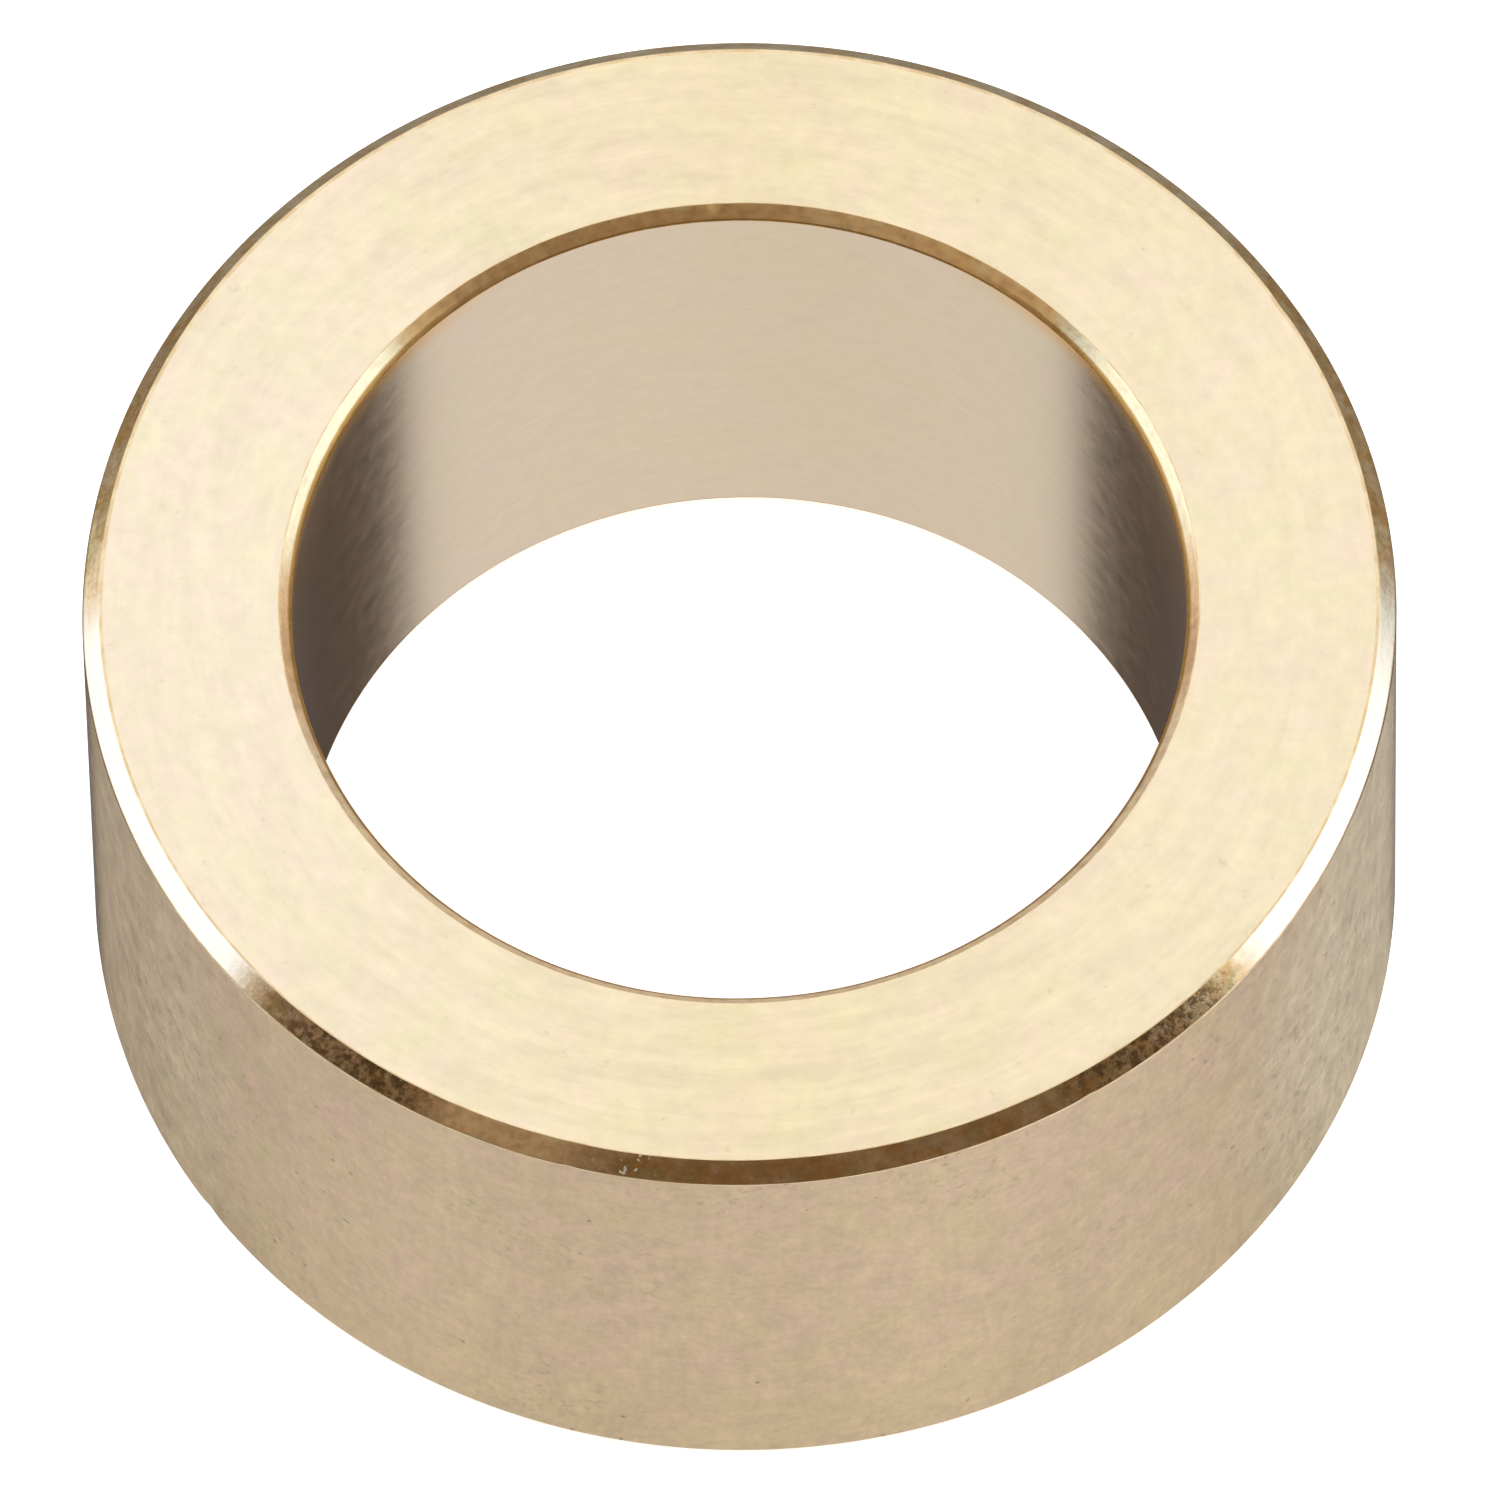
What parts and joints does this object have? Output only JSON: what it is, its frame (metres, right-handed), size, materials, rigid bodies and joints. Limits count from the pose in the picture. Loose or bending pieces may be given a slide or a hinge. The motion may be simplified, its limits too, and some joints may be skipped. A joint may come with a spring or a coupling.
{
  "type": "sleeve bushing",
  "caption": "Plain thick-walled bronze sleeve bushing with a straight bore, a straight outside diameter, faced ends and chamfered edges.",
  "frame": {"origin": "centre of the lower end face, on the bore axis", "axes": "+Z along the bore axis towards the upper end face; +X and +Y are radial and equivalent"},
  "size_m": [0.047, 0.047, 0.021],
  "materials": {
    "bronze": null
  },
  "bodies": {
    "root": {"sleeve": "bronze"}
  },
  "joints": []
}
